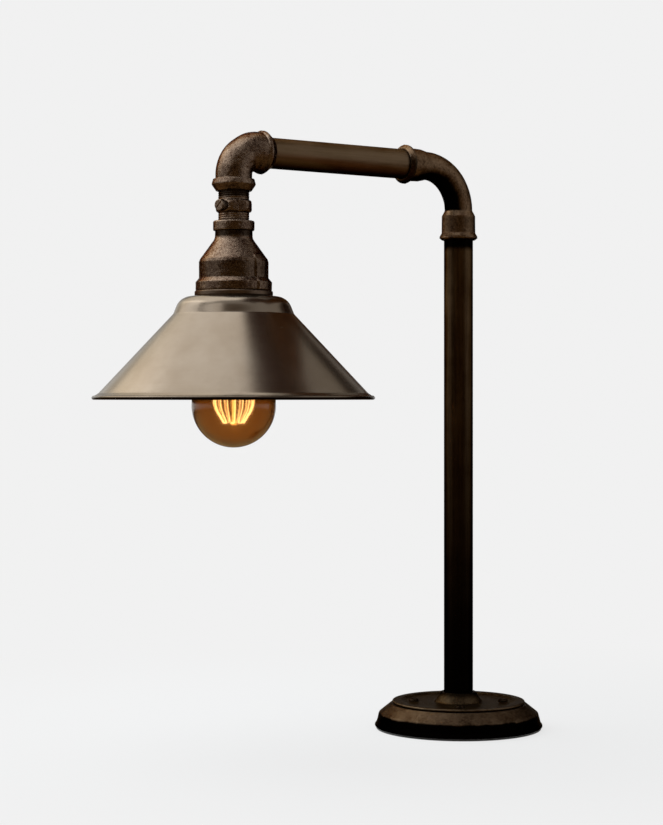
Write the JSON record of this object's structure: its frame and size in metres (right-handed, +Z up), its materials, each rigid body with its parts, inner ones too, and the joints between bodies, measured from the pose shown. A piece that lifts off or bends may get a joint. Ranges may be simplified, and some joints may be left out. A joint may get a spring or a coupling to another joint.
{
  "type": "table lamp",
  "caption": "Pipe-fitting table lamp in dark bronze: round stepped base, post, sweep elbow, level arm and short elbow carrying a bell reducer, conical shade and amber filament bulb.",
  "frame": {"origin": "on the post axis, on the table surface under the base pad", "axes": "+Z up along the post, the arm reaches along -X, +Y across the arm"},
  "size_m": [0.4414, 0.2408, 0.533],
  "materials": {
    "cast_bronze": "dark oil-rubbed bronze over rough casting",
    "pipe_bronze": "dark oil-rubbed bronze, satin",
    "spun_bronze": "bronze lacquer over spun sheet, satin",
    "blackened_screw": "blackened",
    "zinc_steel": "zinc plated",
    "felt": "black felt",
    "black_plastic": "moulded phenolic",
    "white_ceramic": "glazed ceramic",
    "brass": "bright",
    "solder": "tinned",
    "lead_sheath": "round sheathed lead",
    "amber_glass": "clear amber glass",
    "clear_glass": "clear glass",
    "black_glass": "black vitrite",
    "filament_wire": "coiled filament wire, lit"
  },
  "bodies": {
    "stand": {"base_pad": "felt", "base_casting": "cast_bronze", "base_flange": "cast_bronze", "flange_screws": "blackened_screw", "post_pipe": "pipe_bronze", "post_washer": "zinc_steel", "post_locknut": "zinc_steel", "bottom_plate": "zinc_steel", "plate_screws": "zinc_steel", "cord_bushing": "black_plastic", "terminal_block": "white_ceramic", "terminal_screws": "brass", "lead_post": "lead_sheath"},
    "arm": {"post_elbow": "cast_bronze", "arm_pipe": "pipe_bronze", "lead_arm": "lead_sheath"},
    "head": {"head_elbow": "cast_bronze", "hex_nipple": "cast_bronze", "bell_reducer": "cast_bronze", "shade_ring": "spun_bronze", "shade": "spun_bronze", "shade_nut": "black_plastic", "holder_skirt": "black_plastic", "holder_cap": "black_plastic", "holder_core": "white_ceramic", "holder_screws": "brass", "holder_shell": "brass", "holder_contact": "brass", "stem_bush": "zinc_steel", "stem_nut": "zinc_steel", "holder_stem": "zinc_steel", "lead_head": "lead_sheath"},
    "bulb_tip": {"bulb_eyelet": "solder"},
    "bulb": {"bulb_glass": "amber_glass", "bulb_cap": "brass", "cap_insulator": "black_glass", "bulb_stem": "clear_glass", "filament": "filament_wire", "filament_supports": "filament_wire", "lead_in_wires": "filament_wire"}
  },
  "joints": [
    {"name": "arm_swing", "type": "hinge", "parent": "stand", "child": "arm", "pos_m": [0, 0, 0.457], "axis": [0, 0, 1], "range_deg": [-135, 135]},
    {"name": "head_tilt", "type": "hinge", "parent": "arm", "child": "head", "pos_m": [-0.2155, 0, 0.514], "axis": [1, 0, 0], "range_deg": [-45, 45]},
    {"name": "bulb_travel", "type": "slide", "parent": "head", "child": "bulb_tip", "axis": [0, 0, -1], "range_m": [0, 0.0218]},
    {"name": "bulb_turn", "type": "hinge", "parent": "bulb_tip", "child": "bulb", "pos_m": [-0.244, 0, 0.388], "axis": [0, 0, -1], "range_deg": [0, 2160]}
  ],
  "couplings": [
    {"joint": "bulb_travel", "follows": "bulb_turn", "m_per_rad": 0.00057757}
  ]
}
